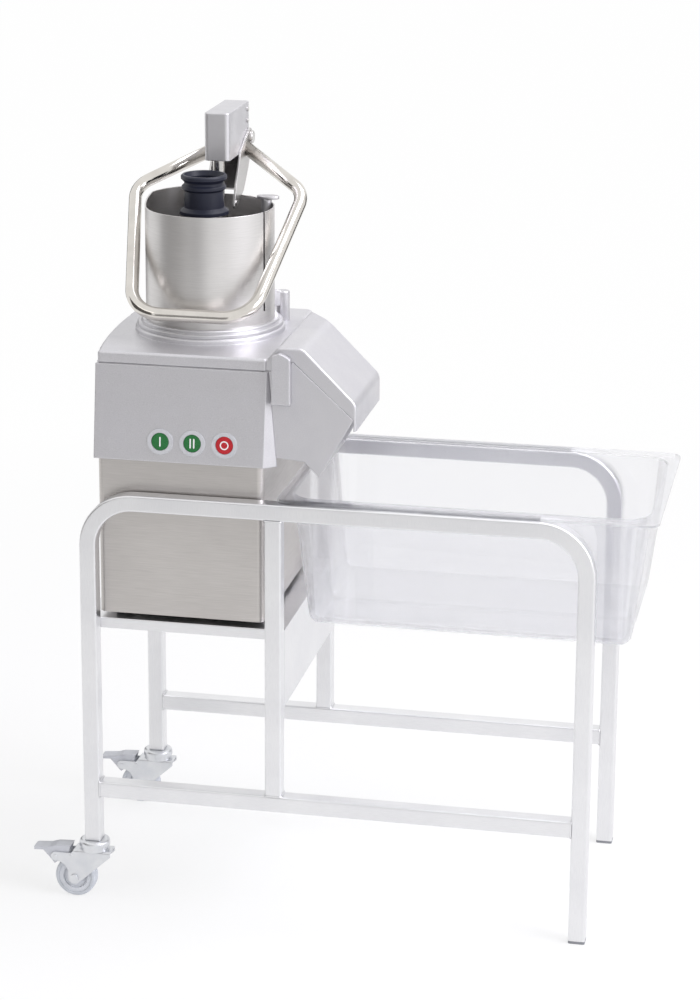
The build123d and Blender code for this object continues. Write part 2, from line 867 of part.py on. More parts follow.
def curved_strip(stations, turn, width):
    """Outline of a curved strip around the disc centre, through three radii and angles."""
    sides = []
    for sign in (-1, 1):
        points = []
        for radius, angle in stations:
            spread = degrees(sign * width / 2 / radius)
            points.append(Vector(hopper_x, 0) + Vector(radius, 0).rotate(Axis.Z, angle + turn + spread))
        sides.append(points)
    with BuildSketch() as strip:
        with BuildLine():
            ThreePointArc(*sides[0])
            Line(sides[0][2], sides[1][2])
            ThreePointArc(*reversed(sides[1]))
            Line(sides[1][0], sides[0][0])
        make_face()
    return strip.sketch


# Ejector disc with curved vanes that throw the food to the chute
with BuildPart() as ejector_disc:
    with BuildSketch(level(ejector_bottom)):
        with Locations((hopper_x, 0)):
            Circle(disc_radius - 1)
    extrude(amount=ejector_thickness)
    with BuildSketch(level(ejector_top)):
        with Locations((hopper_x, 0)):
            Circle(drive_shaft_radius + 7)
    extrude(amount=disc_bottom - ejector_top)
    vane_reach = disc_radius - 8
    vane_stations = [(drive_shaft_radius + 4, 0), (vane_reach / 2 + 8, 3), (vane_reach, 25)]
    for step in range(vane_count):
        with BuildSketch(level(ejector_top)):
            add(curved_strip(vane_stations, 360 / vane_count * step, 4))
        extrude(amount=vane_height)
    with BuildSketch(level(ejector_bottom)):
        with Locations((hopper_x, 0)):
            Circle(drive_shaft_radius)
    extrude(amount=disc_bottom - ejector_bottom, mode=Mode.SUBTRACT)
save(ejector_disc.part, "ejector_disc")

# Slicing disc: plate with one curved opening for each blade, and a hub cap
blade_reach = disc_radius - 8
opening_stations = [(26, 8), (58, -2), (blade_reach, 12)]
blade_stations = [(26, 24), (58, 5.5), (blade_reach, 17.5)]
with BuildPart() as slicing_disc:
    with BuildSketch(level(disc_bottom)):
        with Locations((hopper_x, 0)):
            Circle(disc_radius)
    extrude(amount=disc_thickness)
    fillet(slicing_disc.edges().group_by(Axis.Z)[-1], 1)
    for step in range(blade_count):
        with BuildSketch(level(disc_bottom)):
            add(curved_strip(opening_stations, 360 / blade_count * step, 7))
        extrude(amount=disc_thickness, mode=Mode.SUBTRACT)
    with BuildSketch(level(disc_bottom)):
        with Locations((hopper_x, 0)):
            Circle(drive_shaft_radius)
    extrude(amount=1, mode=Mode.SUBTRACT)
    with BuildSketch(level(disc_top)):
        with Locations((hopper_x, 0)):
            Circle(16)
    extrude(amount=4, taper=20)
save(slicing_disc.part, "slicing_disc")

# Blades: thin curved strips that stand on the front edge of each opening
with BuildPart() as disc_blades:
    for step in range(blade_count):
        with BuildSketch(level(disc_top)):
            add(curved_strip(blade_stations, 360 / blade_count * step, 7.6))
        extrude(amount=blade_rise, taper=35)
save(disc_blades.part, "disc_blades")

# Control panel: a casting cover that leans out towards its lower edge, with three button wells
panel_bottom = casting_top - panel_height
panel_lean = atan2(panel_bottom_depth - panel_top_depth, panel_height)
panel_face = Plane(
    origin=(casting_middle, y_front - panel_bottom_depth, panel_bottom),
    x_dir=(1, 0, 0),
    z_dir=(0, -cos(panel_lean), sin(panel_lean)),
)
button_middle = hopper_x + 16.5 - casting_middle
button_places = [(button_middle + step * button_pitch, button_height) for step in (-1, 0, 1)]
with BuildPart() as control_panel:
    with BuildSketch(level(panel_bottom)):
        Polygon(
            (base_left - 1, y_front),
            (base_left - 1, y_front - panel_bottom_depth),
            (casting_right, y_front - panel_bottom_depth),
            (casting_right + 18, y_front),
        )
    with BuildSketch(level(casting_top - 1)):
        Polygon(
            (base_left + 1, y_front),
            (base_left + 1, y_front - panel_top_depth),
            (casting_right + 3, y_front - panel_top_depth),
            (casting_right + 6, y_front),
        )
    loft()
    fillet(control_panel.edges().filter_by(GeomType.LINE).group_by(Axis.Y)[0], 1.2)
    with BuildSketch(panel_face):
        with Locations(*button_places):
            Circle(button_radius + button_gap)
    extrude(amount=-(button_depth + button_travel + 0.5), mode=Mode.SUBTRACT)
    with BuildSketch(panel_face):
        with Locations(*button_places):
            Circle(bezel_radius)
    extrude(amount=2, mode=Mode.SUBTRACT)
save(control_panel.part, "control_panel")

# Bezels stand on the panel around each button
with BuildPart() as button_bezels:
    with BuildSketch(panel_face):
        with Locations(*button_places):
            Circle(bezel_radius)
            Circle(button_radius + button_gap, mode=Mode.SUBTRACT)
    extrude(amount=bezel_depth)
    fillet(button_bezels.edges().filter_by(GeomType.CIRCLE).group_by(SortBy.RADIUS)[-1], 0.5)
save(button_bezels.part, "button_bezels")

for place, label in zip(button_places, ("slow_button", "fast_button", "stop_button")):
    with BuildPart() as button:
        with BuildSketch(panel_face.offset(-button_depth)):
            with Locations(place):
                Circle(button_radius)
        extrude(amount=button_depth + bezel_depth)
        fillet(button.edges().filter_by(GeomType.CIRCLE).sort_by(Axis.Y)[0], 0.8)
    save(button.part, label)

# Lid hood: the same plan as the duct, and a roof that falls over the mouth
hood_top = lid_top + hood_rise
hood_end = casting_right + seam_end + hood_reach
hood_drop = casting_top - hood_end_drop
hood_turn = casting_top - hood_turn_drop
seam_low = casting_top + 16.5 - 0.91 * chute_seam


def hood_profile(shrink):
    """Front outline of the hood, rounded where the roof bends, smaller by a wall thickness."""
    with BuildSketch(facing_front(throat_y + chute_throat)) as outline:
        with BuildLine():
            Polyline(
                (casting_right - 6 + 3 * shrink, hood_drop - shrink),
                (casting_right - 6 + 3 * shrink, lid_top - shrink / 2),
                (casting_right + 3 + 0.8 * shrink, lid_top - shrink / 2),
                (casting_right + 19 + shrink / 2, hood_top - shrink),
                (casting_right + 56 - 0.4 * shrink, hood_top - shrink),
                (hood_end - shrink, hood_turn - 0.4 * shrink),
                (hood_end - shrink, hood_drop - shrink),
                close=True,
            )
        make_face()
        fillet(vertices().group_by(Axis.Y)[-1].sort_by(Axis.X)[-1], hood_bend - shrink)
        fillet(vertices().group_by(Axis.X)[-1].sort_by(Axis.Y)[-1], hood_bend - shrink)
        fillet(vertices().group_by(Axis.Y)[-1].sort_by(Axis.X)[0], hood_bend / 2 - shrink)
    return outline.sketch


with BuildPart() as hood_inside:
    extrude(hood_profile(hood_wall), amount=chute_depth + chute_throat)
    with BuildSketch(level(hood_drop - 20)):
        Polygon(*duct_plan(chute_wall, casting_right))
    extrude(amount=2 * chute_drop, mode=Mode.INTERSECT)

with BuildPart() as hood_shell:
    extrude(hood_profile(0), amount=chute_depth + chute_throat)
    with BuildSketch(level(hood_drop - 20)):
        Polygon(*duct_plan(0, casting_right - 6))
    extrude(amount=2 * chute_drop, mode=Mode.INTERSECT)
    front_edges = hood_shell.edges().group_by(Axis.Y)[0].sort_by(Axis.Z)[1:]
    fillet(front_edges.sort_by(Axis.X)[1:], hood_edge)
    with BuildSketch(facing_front(throat_y + chute_throat)):
        Polygon(
            (casting_right - 20, lid_bottom),
            (casting_right + 24, lid_bottom),
            (casting_right + seam_start, casting_top + 16.5),
            (casting_right + seam_end, seam_low),
            (casting_right + seam_end, casting_top - 2 * chute_drop),
            (casting_right - 20, casting_top - 2 * chute_drop),
        )
    extrude(amount=chute_depth + chute_throat, mode=Mode.SUBTRACT)
    add(hood_inside.part, mode=Mode.SUBTRACT)

# Lid: plate with a bowed left edge, a raised boss under the hopper, the hood and two knuckles
hinge_y = casting_back + knuckle_radius + knuckle_play
hinge_z = lid_bottom + 6
lid_front = y_front - lid_overhang
lid_back = casting_back
knuckle_starts = (base_left + knuckle_inset, base_left + knuckle_inset + knuckle_spacing)
with BuildPart() as lid:
    with BuildSketch(level(lid_bottom)):
        with BuildLine():
            left_top = (base_left - 12, lid_back - 70)
            left_front = (base_left + 4, lid_front)
            Polyline(
                left_front,
                (casting_right + 3, lid_front),
                (casting_right + 3, lid_back),
                (base_left - 6, lid_back),
                left_top,
            )
            ThreePointArc(left_top, (base_left - 9.5, lid_front + lid_bow_place), left_front)
        make_face()
    extrude(amount=lid_thickness)
    fillet(lid.edges().filter_by(Axis.Z).sort_by(Axis.Y)[:2], 4)
    fillet(lid.edges().filter_by(Axis.Z).sort_by(Axis.Y)[-2:], 12)
    fillet(lid.edges().group_by(Axis.Z)[-1], lid_edge)
    with BuildSketch(level(lid_top)):
        with Locations((hopper_x, 0)):
            Circle(lid_boss_radius)
    extrude(amount=lid_boss_height)
    fillet(lid.edges().group_by(Axis.Z)[-1], 4)
    add(hood_shell.part)
    with BuildSketch(level(lid_bottom)):
        with Locations((casting_middle, y_front + casting_depth / 2)):
            Rectangle(casting_width - 12, casting_depth - 12)
        with Locations((hopper_x, 0)):
            Circle(lid_boss_radius - 2, mode=Mode.SUBTRACT)
    extrude(amount=lid_thickness - 5, mode=Mode.SUBTRACT)
    with BuildSketch(level(lid_bottom)):
        with Locations((hopper_x, 0)):
            Circle(hopper_inner)
    extrude(amount=lid_thickness + lid_boss_height, mode=Mode.SUBTRACT)
    for knuckle_x in knuckle_starts:
        with BuildSketch(facing_right(knuckle_x)):
            with Locations((hinge_y, hinge_z)):
                Circle(knuckle_radius)
            with Locations(((lid_back - 8 + hinge_y) / 2, hinge_z + 3)):
                Rectangle(hinge_y - lid_back + 8, knuckle_radius)
            with Locations((hinge_y, hinge_z)):
                Circle(hinge_pin_radius + running_gap, mode=Mode.SUBTRACT)
        extrude(amount=knuckle_length)
save(lid.part, "lid")

# Lid seal: a flat ring around the chamber, let into the lid
with BuildPart() as lid_seal:
    with BuildSketch(level(lid_bottom - 0.6)):
        with Locations((hopper_x, 0)):
            Circle(chamber_radius + 9)
            Circle(chamber_radius + 5, mode=Mode.SUBTRACT)
    extrude(amount=0.6)
save(lid_seal.part, "lid_seal")

# Hinge pin and the bracket on the back of the casting
bracket_start = knuckle_starts[0] + knuckle_length + knuckle_play
bracket_end = knuckle_starts[1] - knuckle_play
with BuildPart() as hinge_bracket:
    with BuildSketch(facing_front(casting_back + 4)):
        with Locations(((bracket_start + bracket_end) / 2, casting_top - 28)):
            Rectangle(bracket_end - bracket_start, 40)
        fillet(vertices(), 4)
    extrude(amount=4)
    for knuckle_x in (bracket_start, bracket_end - knuckle_length):
        with BuildSketch(facing_right(knuckle_x)):
            with Locations((hinge_y, hinge_z)):
                Circle(knuckle_radius - 0.5)
            Polygon(
                (casting_back, casting_top - 40),
                (casting_back + 4, casting_top - 40),
                (hinge_y + knuckle_radius - 1, hinge_z - 2),
                (hinge_y - knuckle_radius + 1, hinge_z - 2),
                (casting_back, casting_top - 6),
            )
            with Locations((hinge_y, hinge_z)):
                Circle(hinge_pin_radius, mode=Mode.SUBTRACT)
        extrude(amount=knuckle_length)
save(hinge_bracket.part, "hinge_bracket")

with BuildPart() as hinge_pin:
    with BuildSketch(facing_right(knuckle_starts[0] - 2)):
        with Locations((hinge_y, hinge_z)):
            Circle(hinge_pin_radius)
    extrude(amount=knuckle_starts[1] - knuckle_starts[0] + knuckle_length + 4)
save(hinge_pin.part, "hinge_pin")

# Hopper: rolled sheet with a raised back left rim and a narrow upright slot
with BuildPart() as hopper:
    with BuildSketch(level(boss_top)):
        with Locations((hopper_x, 0)):
            Circle(hopper_radius)
            Circle(hopper_inner, mode=Mode.SUBTRACT)
    extrude(amount=hopper_height + hopper_back_rise)
    with BuildSketch(facing_right(hopper_x - hopper_radius - 1)):
        with BuildLine():
            Polyline(
                (-hopper_radius - 1, rim_height),
                (-30, rim_height),
                (20, rim_height + hopper_back_rise),
                (20, rim_height + hopper_back_rise + 5),
                (-hopper_radius - 1, rim_height + hopper_back_rise + 5),
                close=True,
            )
        make_face()
        fillet(vertices().group_by(Axis.Y)[0].sort_by(Axis.X)[-1], 20)
    extrude(amount=2 * hopper_radius + 2, mode=Mode.SUBTRACT)
    with BuildSketch(level(rim_height)):
        with Locations((hopper_x + hopper_radius - 22, 0)):
            Rectangle(2 * hopper_radius, 3 * hopper_radius)
    extrude(amount=hopper_back_rise + 1, mode=Mode.SUBTRACT)
    with BuildSketch(level(rim_height - hopper_slot_height)):
        with Locations((hopper_x, 0)):
            with PolarLocations(hopper_radius, 1, start_angle=hopper_slot_angle):
                Rectangle(20, hopper_slot_width)
    extrude(amount=hopper_slot_height + 1, mode=Mode.SUBTRACT)
save(hopper.part, "hopper")

# Hopper flange: two stepped beads around the foot of the hopper
with BuildPart() as hopper_flange:
    with BuildSketch(level(boss_top)):
        with Locations((hopper_x, 0)):
            Circle(flange_radius)
            Circle(hopper_radius, mode=Mode.SUBTRACT)
    extrude(amount=flange_height)
    fillet(hopper_flange.edges().group_by(Axis.Z)[-1].sort_by(SortBy.RADIUS)[-1], 2)
    with BuildSketch(level(boss_top + flange_height)):
        with Locations((hopper_x, 0)):
            Circle(upper_bead_radius)
            Circle(hopper_radius, mode=Mode.SUBTRACT)
    extrude(amount=upper_bead_height)
    fillet(hopper_flange.edges().group_by(Axis.Z)[-1].sort_by(SortBy.RADIUS)[-1], 2)
save(hopper_flange.part, "hopper_flange")

# Guide post on the inner wall, which the pusher slides on, with its oval cap
post_reach = hopper_inner - guide_post_radius
post_x = hopper_x + post_reach * cos(radians(guide_post_angle))
post_y = post_reach * sin(radians(guide_post_angle))
post_bottom = boss_top + 4
post_top = rim_height + 6
with BuildPart() as guide_post:
    with BuildSketch(level(post_bottom)):
        with Locations((post_x, post_y)):
            Circle(guide_post_radius)
    extrude(amount=post_top - post_bottom)
save(guide_post.part, "guide_post")

with BuildPart() as guide_cap:
    with BuildSketch(level(post_top)):
        with Locations((post_x + 2, post_y + 2)):
            Ellipse(guide_cap_length / 2, guide_cap_width / 2)
    extrude(amount=guide_cap_height)
    fillet(guide_cap.edges().group_by(Axis.Z)[-1], 1.5)
save(guide_cap.part, "guide_cap")

# Hopper lug: an upright barrel on the lid, tied to the hopper by a sloping web
lug_x = hopper_x + lug_shift_x
lug_y = lug_shift_y
lug_angle = degrees(atan2(lug_y, lug_x - hopper_x))
lug_distance = hypot(lug_x - hopper_x, lug_y)
with BuildPart() as hopper_lug:
    with BuildSketch(level(lid_top)):
        with Locations((lug_x, lug_y)):
            Circle(lug_radius)
    extrude(amount=lug_height)
    fillet(hopper_lug.edges().group_by(Axis.Z)[-1], 2)
    lug_plane = Plane(
        origin=(hopper_x, 0, 0),
        x_dir=(cos(radians(lug_angle)), sin(radians(lug_angle)), 0),
        z_dir=(sin(radians(lug_angle)), -cos(radians(lug_angle)), 0),
    )
    with BuildSketch(lug_plane.offset(-6)):
        Polygon(
            (hopper_radius, boss_top + flange_height + upper_bead_height + 3),
            (lug_distance, boss_top + flange_height + upper_bead_height + 3),
            (lug_distance, lid_top + lug_height - 2),
            (hopper_radius, lid_top + lug_height + 8),
        )
    extrude(amount=12)
save(hopper_lug.part, "hopper_lug")

# Pusher plate: a thick disc with a hole under the feed tube and a notch for the guide post
tube_x = hopper_x + feed_tube_shift_x
tube_y = feed_tube_shift_y
tube_bore = feed_tube_radius - feed_tube_wall
shaft_x = hopper_x + shaft_shift_x
shaft_y = shaft_shift_y
pusher_bottom = disc_top + pusher_gap
pusher_top = pusher_bottom + pusher_thickness
with BuildPart() as pusher_plate:
    with BuildSketch(level(pusher_bottom)):
        with Locations((hopper_x, 0)):
            Circle(hopper_inner - pusher_clearance)
        with Locations((tube_x, tube_y)):
            Circle(tube_bore, mode=Mode.SUBTRACT)
        with Locations((post_x, post_y)):
            Circle(guide_post_radius + 1.5, mode=Mode.SUBTRACT)
        with Locations((hopper_x, 0)):
            with PolarLocations(post_reach + 10, 1, start_angle=guide_post_angle):
                Rectangle(20, 2 * guide_post_radius + 3, mode=Mode.SUBTRACT)
    extrude(amount=pusher_thickness)
    chamfer(pusher_plate.edges().filter_by(GeomType.CIRCLE).sort_by(SortBy.RADIUS)[-1], 2)
save(pusher_plate.part, "pusher_plate")

# Feed tube: turned profile with a base ring, a second ring and a flared lip
tube_top = rim_height + feed_tube_rise
ring_low = rim_height - 8
with BuildPart() as feed_tube:
    with BuildSketch(facing_front(tube_y)):
        with BuildLine():
            Polyline(
                (tube_x + tube_bore, pusher_top),
                (tube_x + feed_tube_radius, pusher_top),
                (tube_x + feed_tube_radius, ring_low),
                (tube_x + tube_ring_radius, ring_low),
                (tube_x + tube_ring_radius, ring_low + 5),
                (tube_x + feed_tube_radius + 1, ring_low + 10),
                (tube_x + feed_tube_radius, tube_top - 24),
                (tube_x + feed_tube_radius + 4, tube_top - 21),
                (tube_x + feed_tube_radius + 4, tube_top - 17),
                (tube_x + feed_tube_radius + 0.5, tube_top - 14),
                (tube_x + feed_tube_radius + 0.5, tube_top - 11),
                (tube_x + tube_lip_radius, tube_top - 6),
                (tube_x + tube_lip_radius, tube_top - 2),
                (tube_x + tube_lip_radius - 2, tube_top),
                (tube_x + tube_lip_radius - 5, tube_top),
                (tube_x + tube_bore, tube_top - 7),
                close=True,
            )
        make_face()
    revolve(axis=Axis((tube_x, tube_y, 0), (0, 0, 1)))
save(feed_tube.part, "feed_tube")

with BuildPart() as tube_collar:
    with BuildSketch(level(ring_low - 7)):
        with Locations((tube_x, tube_y)):
            Circle(tube_ring_radius - 1)
            Circle(feed_tube_radius, mode=Mode.SUBTRACT)
    extrude(amount=7)
    fillet(tube_collar.edges().group_by(Axis.Z)[0].sort_by(SortBy.RADIUS)[-1], 2)
save(tube_collar.part, "tube_collar")

# Pusher shaft, and the wing that runs on the guide post
head_bottom = rim_height + head_rise
with BuildPart() as pusher_shaft:
    with BuildSketch(level(pusher_top)):
        with Locations((shaft_x, shaft_y)):
            Circle(pusher_shaft_radius)
    extrude(amount=head_bottom + head_height / 2 - pusher_top)
save(pusher_shaft.part, "pusher_shaft")

# Head box: a hollow casting with rounded front edges and a boss for the shaft
head_back_y = head_front_y + head_depth
head_middle_y = (head_front_y + head_back_y) / 2
pivot_y = head_back_y - pivot_back
pivot_z = head_bottom + pivot_height
with BuildPart() as head_box:
    with BuildSketch(level(head_bottom)):
        with Locations((shaft_x, head_middle_y)):
            Rectangle(head_width, head_depth)
        fillet(vertices().group_by(Axis.Y)[0], 7)
        fillet(vertices().group_by(Axis.Y)[-1], 3)
    extrude(amount=head_height)
    fillet(head_box.edges().group_by(Axis.Z)[-1], 2)
    with BuildSketch(level(head_bottom)):
        with Locations((shaft_x, head_middle_y)):
            Rectangle(head_width - 2 * head_wall, head_depth - 2 * head_wall)
        with Locations((shaft_x, shaft_y)):
            Circle(pusher_shaft_radius + 5, mode=Mode.SUBTRACT)
        with Locations((shaft_x, pivot_y)):
            Rectangle(head_width, 2 * pivot_radius + 6, mode=Mode.SUBTRACT)
    extrude(amount=head_height - head_wall, mode=Mode.SUBTRACT)
    with BuildSketch(level(head_bottom)):
        with Locations((shaft_x, shaft_y)):
            Circle(pusher_shaft_radius)
    extrude(amount=head_height / 2, mode=Mode.SUBTRACT)
    with BuildSketch(facing_right(shaft_x - head_width)):
        with Locations((pivot_y, pivot_z)):
            Circle(pivot_radius)
    extrude(amount=2 * head_width, mode=Mode.SUBTRACT)
save(head_box.part, "head_box")

# Two screws in each side of the head box, above the pivot
screw_places = [(pivot_y - 4, pivot_z + 26), (pivot_y - 3, pivot_z + 43)]
with BuildPart() as head_screws:
    with BuildSketch(facing_right(shaft_x + head_width / 2)):
        with Locations(*screw_places):
            Circle(3.5)
    extrude(amount=1.8)
    with BuildSketch(facing_right(shaft_x - head_width / 2 - 1.8)):
        with Locations(*screw_places):
            Circle(3.5)
    extrude(amount=1.8)
save(head_screws.part, "head_screws")

# Channel arm: two cheeks beside the head box, joined by a web, with a stud on each cheek
arm_inner = head_width / 2 + side_gap
arm_outer = arm_inner + arm_sheet
lower_y = pivot_y - elbow_back
lower_z = pivot_z - elbow_drop
with BuildPart() as channel_arm:
    for cheek_x in (shaft_x - arm_outer, shaft_x + arm_inner):
        with BuildSketch(facing_right(cheek_x)):
            with BuildLine():
                Polyline(
                    (pivot_y - 8, pivot_z + 12),
                    (pivot_y - 60, pivot_z - 12),
                    (pivot_y - 90, pivot_z - 55),
                    (pivot_y - 105, pivot_z - 90),
                    (pivot_y - 97, pivot_z - 94),
                    (lower_y, lower_z),
                    (pivot_y - 13, pivot_z - 45),
                    (pivot_y + 12, pivot_z - 8),
                    close=True,
                )
            make_face()
            fillet(vertices(), 3)
            with Locations((pivot_y, pivot_z)):
                Circle(14)
                Circle(pivot_radius + running_gap, mode=Mode.SUBTRACT)
        extrude(amount=arm_sheet)
    with BuildSketch(facing_right(shaft_x - arm_outer)):
        with BuildLine():
            Polyline(
                (lower_y, lower_z),
                (lower_y - 2, lower_z + arm_sheet),
                (pivot_y - 15, pivot_z - 45 + arm_sheet),
                (pivot_y - 5, pivot_z - 28),
                (pivot_y - 2, pivot_z - 30),
                (pivot_y - 13, pivot_z - 45),
                close=True,
            )
        make_face()
    extrude(amount=2 * arm_outer)
    for stud_x in (shaft_x - arm_outer - stud_length, shaft_x + arm_outer):
        with BuildSketch(facing_right(stud_x)):
            with Locations((pivot_y - stud_back, pivot_z - stud_drop)):
                Circle(stud_radius)
        extrude(amount=stud_length)
save(channel_arm.part, "channel_arm")

# Pivot bolt through the head box and both cheeks, with a domed head and a nut
with BuildPart() as pivot_bolt:
    with BuildSketch(facing_right(shaft_x - arm_outer - side_gap)):
        with Locations((pivot_y, pivot_z)):
            Circle(pivot_radius)
    extrude(amount=2 * (arm_outer + side_gap))
    with BuildSketch(facing_right(shaft_x + arm_outer + side_gap)):
        with Locations((pivot_y, pivot_z)):
            Circle(pivot_radius + 4)
    extrude(amount=5)
    fillet(pivot_bolt.edges().group_by(Axis.X)[-1], 2)
    with BuildSketch(facing_right(shaft_x - arm_outer - side_gap - 6)):
        with Locations((pivot_y, pivot_z)):
            RegularPolygon(pivot_radius + 4, 6)
    extrude(amount=6)
save(pivot_bolt.part, "pivot_bolt")

# Handle: one bent tube around the hopper, with both ends cut flush with the arm
slope = atan2(pivot_z - 13.5 - boss_top - handle_run_height, pivot_y - 22 - handle_run_y)
handle_plane = Plane(
    origin=(hopper_x, handle_run_y, boss_top + handle_run_height),
    x_dir=(1, 0, 0),
    z_dir=(0, -sin(slope), cos(slope)),
)
end_run = (pivot_y - 22 - handle_run_y) / cos(slope)


def past_arm(side):
    """Handle plane point a little way inside the arm, on the straight from the corner."""
    corner = Vector(side * handle_half_width, handle_corner_run)
    at_arm = Vector(side * arm_outer + shaft_shift_x, end_run)
    end = at_arm + (at_arm - corner).normalized() * 15
    return (end.X, end.Y)


with BuildPart() as handle:
    with BuildLine(handle_plane):
        FilletPolyline(
            past_arm(-1),
            (-handle_half_width, handle_corner_run),
            (-handle_half_run, 0),
            (handle_half_run, 0),
            (handle_half_width, handle_corner_run),
            past_arm(1),
            radius=(handle_side_bend, handle_front_bend, handle_front_bend, handle_side_bend),
        )
    with BuildSketch(Plane(handle.pending_edges[0] @ 0, z_dir=handle.pending_edges[0] % 0)):
        Circle(handle_tube_radius)
        Circle(handle_tube_radius - handle_tube_wall, mode=Mode.SUBTRACT)
    sweep()
    with BuildSketch(facing_right(shaft_x - arm_outer)):
        with Locations((pivot_y, pivot_z)):
            Rectangle(head_depth, head_depth)
    extrude(amount=2 * arm_outer, mode=Mode.SUBTRACT)
save(handle.part, "handle")
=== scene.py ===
import bpy
import bmesh
from math import atan2, cos, pi, sin, tan
from mathutils import Matrix, Vector


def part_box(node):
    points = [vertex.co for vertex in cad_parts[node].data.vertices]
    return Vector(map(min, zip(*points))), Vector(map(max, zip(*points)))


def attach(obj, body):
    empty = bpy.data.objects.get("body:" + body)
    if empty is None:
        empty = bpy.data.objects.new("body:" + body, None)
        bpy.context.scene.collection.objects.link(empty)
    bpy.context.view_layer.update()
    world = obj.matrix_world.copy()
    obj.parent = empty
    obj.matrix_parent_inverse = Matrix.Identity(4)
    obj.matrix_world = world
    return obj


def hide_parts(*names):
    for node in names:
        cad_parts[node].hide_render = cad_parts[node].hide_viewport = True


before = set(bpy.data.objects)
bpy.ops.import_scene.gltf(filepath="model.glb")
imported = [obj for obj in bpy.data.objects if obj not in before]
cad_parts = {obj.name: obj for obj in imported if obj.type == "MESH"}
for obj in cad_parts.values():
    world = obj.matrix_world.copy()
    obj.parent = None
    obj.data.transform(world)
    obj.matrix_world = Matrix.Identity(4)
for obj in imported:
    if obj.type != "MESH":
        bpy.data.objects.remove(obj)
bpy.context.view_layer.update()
print("frame loaded:", len(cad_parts), "nodes")

# camera, matched to the stand's corners; the shift keeps the photograph's framing.
# Lengths are in metres and angles in radians, here and below
cameraLook = {"place": (0.77845, -4.0006, 1.8631), "yaw": 0.203676, "pitch": 0.263942,
              "roll": 0.004228, "focalPixels": 2806.0, "photoPixels": 1000, "sensorMm": 36,
              "shift": (0.02, -0.10), "near": 0.05, "far": 200}


def placeCamera(look):
    yaw, pitch, roll = look["yaw"], look["pitch"], look["roll"]
    ahead = Vector((-sin(yaw) * cos(pitch), cos(yaw) * cos(pitch), -sin(pitch)))
    level = Vector((cos(yaw), sin(yaw), 0))
    upright = level.cross(ahead)
    right = level * cos(roll) + upright * sin(roll)
    up = upright * cos(roll) - level * sin(roll)
    data = bpy.data.cameras.new("camera")
    data.sensor_width = look["sensorMm"]
    data.lens = look["focalPixels"] * look["sensorMm"] / look["photoPixels"]
    data.shift_x, data.shift_y = look["shift"]
    data.clip_start, data.clip_end = look["near"], look["far"]
    camera = bpy.data.objects.new("camera", data)
    turn = Matrix((right, up, -ahead)).transposed().to_4x4()
    camera.matrix_world = Matrix.Translation(look["place"]) @ turn
    bpy.context.collection.objects.link(camera)
    bpy.context.scene.camera = camera


placeCamera(cameraLook)
print("camera placed")


def linear(hexColour):
    parts = [int(hexColour[i:i + 2], 16) / 255 for i in (1, 3, 5)]
    return tuple(c / 12.92 if c <= 0.04045 else ((c + 0.055) / 1.055) ** 2.4 for c in parts) + (1.0,)


def addNode(tree, kind, inputs=None, **settings):
    made = tree.nodes.new("ShaderNode" + kind)
    for name, value in settings.items():
        setattr(made, name, value)
    for name, value in (inputs or {}).items():
        if isinstance(value, bpy.types.NodeSocket):
            tree.links.new(value, made.inputs[name])
        else:
            made.inputs[name].default_value = value
    return made


def startMaterial(name):
    material = bpy.data.materials.new(name)
    material.use_nodes = True
    material.node_tree.nodes.clear()
    return material, material.node_tree


def noiseMm(tree, sizeMm, detail=2.0, roughness=0.5):
    # noise whose lumps measure sizeMm along x, y and z
    place = addNode(tree, "TexCoord")
    scale = tuple(1000.0 / size for size in sizeMm)
    mapped = addNode(tree, "Mapping", {"Vector": place.outputs["Object"], "Scale": scale})
    return addNode(tree, "TexNoise", {"Vector": mapped.outputs[0], "Scale": 1.0, "Detail": detail,
                                      "Roughness": roughness}).outputs["Fac"]


def spread(tree, value, low, high, fromLow=0.3, fromHigh=0.7):
    return addNode(tree, "MapRange", {"Value": value, "From Min": fromLow, "From Max": fromHigh,
                                      "To Min": low, "To Max": high}).outputs["Result"]


# how far each kind of mark stands out of its surface, in metres
reliefOf = {"scratch": 0.0002, "pit": 0.0003, "wipe": 0.0002, "grain": 0.0002, "flow": 0.0004}


def driftingTone(tree, cloud, look):
    # two close tones that drift into each other
    return addNode(tree, "MixRGB", {"Fac": spread(tree, cloud, 0, 1), "Color1": linear(look["colour"]),
                                    "Color2": linear(look["shade"])}).outputs[0]


def softEdge(tree, radiusMm):
    return addNode(tree, "Bevel", {"Radius": radiusMm / 1000}, samples=8).outputs["Normal"]


# brushed stainless sheet and tube: fine straight scratches left by the belt, so highlights smear
# across them. Real scratches are 0.05 mm apart; they are drawn coarser so that they show.
def brushedStainless(name, look):
    material, tree = startMaterial(name)
    scratch = noiseMm(tree, look["scratchMm"], 3.0, 0.65)
    cloud = noiseMm(tree, (look["cloudMm"],) * 3, 2.0)
    tone = driftingTone(tree, cloud, look)
    lines = addNode(tree, "MixRGB", {"Fac": spread(tree, scratch, 0, look["lineDepth"]),
                                     "Color1": tone, "Color2": linear(look["lines"])})
    bump = addNode(tree, "Bump", {"Height": scratch, "Strength": look["bump"],
                                  "Distance": reliefOf["scratch"],
                                  "Normal": softEdge(tree, look["edgeMm"])})
    shader = addNode(tree, "BsdfPrincipled", {
        "Base Color": lines.outputs[0], "Metallic": 1.0,
        "Roughness": spread(tree, scratch, *look["roughness"]), "Normal": bump.outputs[0]})
    addNode(tree, "OutputMaterial", {"Surface": shader.outputs[0]})
    return material


